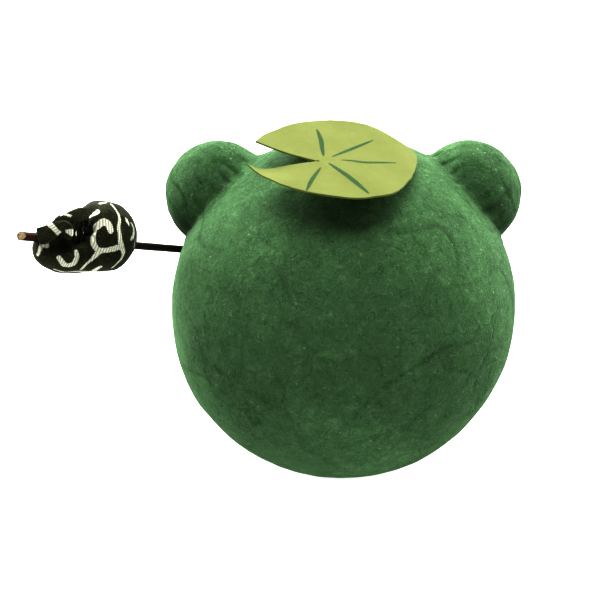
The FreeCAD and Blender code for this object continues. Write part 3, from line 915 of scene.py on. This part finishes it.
# each line of the pattern: points (right, up) in mm, and half its width at even steps along it
PATTERN_AT = on_pole(28.4, 2.0)
CURLS = [
    (
        [(2.3, 1.5), (2.1, 2.9), (0.6, 3.8), (-1.3, 2.7), (-2.3, 0.5), (-2.4, -1.5), (-1.1, -3.9),
         (1.4, -3.9), (4.1, -3.3), (5.3, -3.0)],
        (0.85, 1.05, 1.0, 0.9, 0.85, 0.8, 0.9),
    ),
    (
        [(2.6, 8.9), (4.3, 6.7), (4.9, 4.6), (4.7, 2.6), (4.9, 0.0), (5.3, -2.5), (5.9, -4.5), (5.6, -6.0),
         (4.1, -7.8), (1.8, -9.7)],
        (0.25, 0.32, 0.42, 0.55, 0.62, 0.85, 0.55, 0.35, 0.25),
    ),
    ([(-0.7, -4.3), (-2.4, -6.2), (-4.2, -7.8), (-6.1, -9.7)], (0.85, 0.45, 0.40)),
    (
        [(-13.1, -9.3), (-10.2, -10.1), (-6.7, -9.9), (-3.2, -10.0), (-1.7, -9.4), (-0.7, -8.8), (0.4, -8.2)],
        (0.28, 0.32, 0.34, 0.36, 0.45, 0.85, 0.45),
    ),
    (
        [(-11.7, -6.1), (-10.7, -7.6), (-9.2, -8.2), (-7.5, -7.4), (-6.8, -5.8), (-7.3, -3.8)],
        (0.7, 0.8, 0.8, 0.75, 0.55),
    ),
    ([(-15.0, -2.7), (-16.2, -2.4), (-17.0, -3.9), (-17.6, -5.7)], (0.75, 0.75, 0.6, 0.45)),
    ([(-1.6, 6.6), (-2.7, 5.7), (-3.9, 4.8)], (1.15, 0.75, 0.15)),
    ([(6.6, 5.1), (7.1, 4.1), (7.6, 2.9)], (0.25, 0.5, 0.3)),
    ([(8.2, 3.7), (8.9, 1.8), (8.8, 0.3), (8.0, -1.1)], (0.3, 0.45, 0.65, 0.45)),
    ([(9.3, -0.9), (9.0, -3.3)], (0.15, 0.3)),
    ([(-0.4, 9.1), (1.1, 9.5)], (0.6, 0.5)),
]


def curl_distance(surface, lines, mirrored=False):
    reach = np.full(len(surface), 4.0)
    for points, widths in lines:
        path = spline(points, 36)
        if mirrored:
            # the hidden side carries the same curls, turned upside down
            flipped = 2 * HEART - surface
            lifted = 2 * HEART - seen_to_bag(path + (0.0, 0.8), flipped)
        else:
            lifted = seen_to_bag(path, surface)
        lifted = spline(lifted[::3], 60)
        d, along = distance_to_path(surface, lifted)
        width = np.interp(along, np.linspace(0, 1, len(widths)), widths)
        reach = np.minimum(reach, d - width)
    return reach


def cloth_uv(p):
    """Warp and weft coordinates in mm: along the pole and round it."""
    q = p - HEART
    along = q @ POLE_DIR
    round_it = np.arctan2(q @ POLE_LIFT, q @ POLE_SIDE)
    return np.stack([along * 1.08, round_it * 9.0], 1)


def in_hollow(p):
    """How much painted shadow lies in the folds round the pinch: 1 where no light gets, down to 0 outside
    them.
    """
    hollow_shadow = np.zeros(len(p))
    for centre, radius in (HOLLOWS[0], HOLLOWS[2]):
        hollow_shadow = np.maximum(hollow_shadow, 1 - smooth(np.linalg.norm(p - centre, axis=1), radius * 0.8, radius * 1.25))
    return hollow_shadow


def cloth_bag():
    toward, faces = ball_mesh(7)
    outer = on_bag(toward)
    near = (outer - HEART) @ VIEW > -1.5
    curl = np.where(near, curl_distance(outer, CURLS), 4.0)
    curl = np.minimum(curl, np.where(near, 4.0, curl_distance(outer, CURLS, True)))
    hollow_shadow = in_hollow(outer)
    coarse, inner_faces = ball_mesh(5)
    inner = on_bag(coarse, 0.5)
    count = len(outer)
    points = np.concatenate([outer, inner])
    tris = [tuple(f) for f in faces] + [tuple(reversed([i + count for i in f])) for f in inner_faces.tolist()]
    flat = np.full(len(inner), 9.0)
    bag = make_object(
        "bundle_wrap", points, tris, CLOTH, "bundle",
        {"curl": np.concatenate([curl, flat]), "hollow_shadow": np.concatenate([hollow_shadow, 0 * flat])}, cloth_uv(points),
    )
    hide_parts("bundle_cloth")
    wad = make_object("cotton_wad", on_bag(coarse, 0.75), inner_faces, COTTON, "bundle")
    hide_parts("bundle_stuffing")


def strip(path, facing, width, thick, lines, twist, count=90):
    """A folded flat tube of cloth along a path: points, faces, uv and curl distance."""
    path = spline(path, count)
    run = unit(np.gradient(path, axis=0))
    share = np.linspace(0, 1, count)
    across = unit(np.cross(facing, run))
    up = np.cross(run, across)
    angle = np.radians(twist) * share
    side = across * np.cos(angle)[:, None] + up * np.sin(angle)[:, None]
    up = np.cross(run, side)
    section = np.linspace(0, 2 * math.pi, 56, endpoint=False)
    widths = np.interp(share, np.linspace(0, 1, len(width)), width)
    thicks = np.interp(share, np.linspace(0, 1, len(thick)), thick)
    ends = np.sqrt(np.clip(1 - (1 - np.minimum(1, np.minimum(share, 1 - share) * count / 4)) ** 2, 0, 1))
    cx = np.sign(np.cos(section)) * np.abs(np.cos(section)) ** 0.55
    cy = np.sign(np.sin(section)) * np.abs(np.sin(section)) ** 0.75
    run_mm = np.concatenate([[0], np.cumsum(np.linalg.norm(np.diff(path, axis=0), axis=1))])
    points, uv, offsets = [], [], []
    for i in range(count):
        half_w, half_t = widths[i] / 2 * (0.80 + 0.20 * ends[i]), thicks[i] / 2 * (0.35 + 0.65 * ends[i])
        crown = 1 + 0.22 * np.cos(3 * section + 4 * share[i])
        points.append(path[i] + side[i] * (cx * half_w)[:, None] + up[i] * (cy * half_t * crown)[:, None])
        uv.append(np.stack([cx * half_w + 3 * (cy < 0), np.full(len(section), run_mm[i])], 1))
        offsets.append(cx * half_w)
    points, uv, offsets = np.concatenate(points), np.concatenate(uv), np.concatenate(offsets)
    points += unit(points - np.repeat(path, len(section), 0)) * (0.10 * field_noise(points, 55, 3.5))[:, None]
    n = len(section)
    faces = [tuple(reversed(f)) for f in grid_faces(count, n, True)]
    faces.append(tuple(range(n)))
    faces.append(tuple(reversed(range((count - 1) * n, count * n))))
    curl = np.full(len(points), 4.0)
    for at, half, slope, lowest in lines:
        reach = np.abs(uv[:, 1] + slope * offsets - at) - half
        curl = np.minimum(curl, np.maximum(reach, lowest - offsets))
    return points, faces, uv, curl


def join_strips(name, strips, node, shaded=True):
    points, faces, uv, curl, start = [], [], [], [], 0
    for p, f, u, c in strips:
        points.append(p)
        faces += [tuple(i + start for i in face) for face in f]
        uv.append(u)
        curl.append(c)
        start += len(p)
    points, curl = np.concatenate(points), np.concatenate(curl)
    hollow_shadow = in_hollow(points) * (curl > 0.3) if shaded else np.zeros(len(points))
    layers = {"curl": curl, "hollow_shadow": hollow_shadow}
    uv = np.concatenate(uv)
    obj = make_object(name, points, faces, CLOTH, "bundle", layers, uv)
    faces_outward(obj)
    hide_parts(node)


# the middle lines of the cloth's corners: along the pole, above it, and beside it
LOWER_EAR = [
    (49.7, 1.1, -2.4), (48.1, 2.2, -3.6), (46.2, 4.1, -4.4), (44.1, 5.6, -4.8), (42.6, 5.1, -5.0),
    (42.0, 3.6, -5.2), (42.1, 1.9, -5.0),
]
UPPER_EAR = [(45.8, 4.3, -2.6), (43.5, 6.1, -3.2), (40.8, 7.7, -3.2), (38.6, 8.5, -2.8), (36.0, 8.7, -2.0)]
FAR_EAR = [(35.8, 6.0, 1.6), (36.5, 5.2, 4.8), (37.2, 3.4, 7.8), (37.4, 0.9, 9.4)]
# their white lines: how far along, half width, lean, and the lowest they reach across the strip
LOWER_LINES = [(5.1, 0.72, 0.25, -9.0), (10.4, 0.8, -0.3, -9.0)]
UPPER_LINES = [(5.6, 0.5, 0.8, 0.2)]
FAR_LINES = [(5.4, 0.7, 0.3, -9.0)]


def ears_and_knot():
    lower, upper, far = ([on_pole(*at) for at in ear] for ear in (LOWER_EAR, UPPER_EAR, FAR_EAR))
    lower = strip(
        lower, VIEW, (4.7, 5.0, 4.2, 3.2, 2.4, 2.2, 1.8), (1.4, 1.6, 1.6, 1.5, 1.4, 1.4, 1.2), LOWER_LINES, 6
    )
    upper = strip(upper, VIEW, (2.8, 3.4, 3.7, 3.9, 3.6), (1.3, 1.6, 1.7, 1.6, 1.4), UPPER_LINES, -8)
    join_strips("ear_near", [lower, upper], "near_ear", False)
    outward = unit(POLE_LIFT * 0.8 + POLE_SIDE * 0.6)
    tail = strip(far, outward, (4.4, 5.0, 4.8, 4.2), (1.6, 1.7, 1.6, 1.3), FAR_LINES, 8)
    join_strips("ear_far", [tail], "far_ear", False)
    folds = []
    inward = unit(HEART - PINCH)
    for turn, size in ((0.3, 1.5), (1.7, 1.2), (2.9, 1.4), (4.1, 1.1), (5.3, 1.3)):
        out = POLE_DIR * math.cos(turn) + POLE_LIFT * math.sin(turn)
        path = [PINCH + inward * 2.2 + out * 0.3, PINCH + inward * 1.0 + out * 1.1]
        path += [PINCH + inward * 0.9 + out * 2.2, PINCH + inward * 2.4 + out * 3.2]
        folds.append(strip(path, -inward, (size, size * 1.3, size, 0.8), (0.8, 1.0, 0.9, 0.5), (), 25, 30))
    # a few loose threads hang across the pinch
    rng = np.random.default_rng(8)
    for _ in range(3):
        top = PINCH - inward * rng.uniform(0.2, 1.2)
        top = top + VIEW_RIGHT * rng.uniform(-0.8, 1.2) + VIEW_UP * rng.uniform(-0.5, 1.5)
        path = [top]
        for _ in range(4):
            path.append(path[-1] + VIEW_UP * rng.uniform(-1.5, -0.7) + VIEW_RIGHT * rng.uniform(-0.5, 0.5))
        folds.append(strip(path, VIEW, (0.08, 0.09, 0.07), (0.08, 0.08, 0.07), [(0.8, 0.8, 0, -9)], 0, 30))
    join_strips("gathered_knot", folds, "bundle_knot")


def thread_turns():
    """Turns of thread wound round the pole inside the bundle's mouth."""
    turns, per_turn, ring, radius, thread_r = 6.0, 48, 10, 1.62, 0.2
    start, width = 46.2, 2.4
    count = int(turns * per_turn)
    share = np.linspace(0, 1, count)
    angle = share * turns * 2 * math.pi
    centre = on_pole(start + width * share, radius * np.sin(angle), radius * np.cos(angle))
    run = unit(np.gradient(centre, axis=0))
    out = unit(centre - on_pole(start + width * share))
    up = np.cross(run, out)
    section = np.linspace(0, 2 * math.pi, ring, endpoint=False)
    cos, sin = np.cos(section)[:, None], np.sin(section)[:, None]
    points = np.concatenate([c + thread_r * (o * cos + u * sin) for c, o, u in zip(centre, out, up)])
    faces = [tuple(reversed(f)) for f in grid_faces(count, ring, True)]
    faces += [tuple(range(ring)), tuple(reversed(range((count - 1) * ring, count * ring)))]
    tie = make_object("tie_thread", points, faces, THREAD, "tie")
    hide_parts("pole_tie")


cloth_bag()
ears_and_knot()
thread_turns()

# ---------------- floor and light


def floor():
    """A pale table that glows a little, so the object casts only a faint shadow on it."""
    size = 6.0
    mesh = bpy.data.meshes.new("floor")
    around = [(-size, -size, 0), (size, -size, 0), (size, size, 0), (-size, size, 0)]
    mesh.from_pydata(around, [], [(0, 1, 2, 3)])
    obj = bpy.data.objects.new("floor", mesh)
    bpy.context.scene.collection.objects.link(obj)
    m = Nodes("floor", Roughness=0.9, Emission_Color=(1, 1, 1, 1), Emission_Strength=0.94)
    tone = m.noise(m.place(0.002), 2.0)
    mesh.materials.append(m.done(m.mix(tone, (0.34, 0.34, 0.34), (0.37, 0.37, 0.37))))


# the point that every light is turned towards, in the ball's middle
AIM = np.array((0, 0, 0.05))


def area_light(name, at, size, brightness):
    """A soft rectangular light, as wide and as tall as size says; brightness is what its face shows."""
    data = bpy.data.lights.new(name, "AREA")
    data.shape = "RECTANGLE"
    data.size, data.size_y = size
    data.energy = brightness * math.pi * size[0] * size[1]
    light = bpy.data.objects.new(name, data)
    bpy.context.scene.collection.objects.link(light)
    away = unit(np.array(at) - AIM)
    side = unit(np.cross((0.01, 0.02, 1), away))
    rows = np.stack([side, np.cross(away, side), away], 1)
    light.matrix_world = Matrix([[*rows[i], at[i]] for i in range(3)] + [[0, 0, 0, 1]])


def sky():
    """A pale room: dim on the side that the frog's back faces, bright on the side that its face looks to."""
    world = bpy.data.worlds.new("world")
    world.use_nodes = True
    tree = world.node_tree
    split = tree.nodes.new("ShaderNodeSeparateXYZ")
    tree.links.new(tree.nodes.new("ShaderNodeTexCoord").outputs["Generated"], split.inputs[0])
    level = tree.nodes.new("ShaderNodeMapRange")
    tree.links.new(split.outputs[1], level.inputs[0])
    for index, value in ((1, -0.9), (2, 0.2), (3, 4.6), (4, 0.1)):
        level.inputs[index].default_value = value
    background = tree.nodes["Background"]
    background.inputs["Color"].default_value = (1, 1, 1, 1)
    tree.links.new(level.outputs[0], background.inputs["Strength"])
    bpy.context.scene.world = world


def lights():
    """One soft light overhead, and one low on each side of the face that picks out the ball's edges."""
    area_light("top", (0, 0.04, 0.9), (0.55, 0.42), 10.4)
    for name, side, brightness in (("left", 1, 13.5), ("right", -1, 10.5)):
        area_light(name, (side * 0.72, -0.55, 0.30), (0.6, 0.7), brightness)
    view = bpy.context.scene.view_settings
    view.view_transform = "Standard"
    view.gamma = 0.60


floor()
sky()
lights()
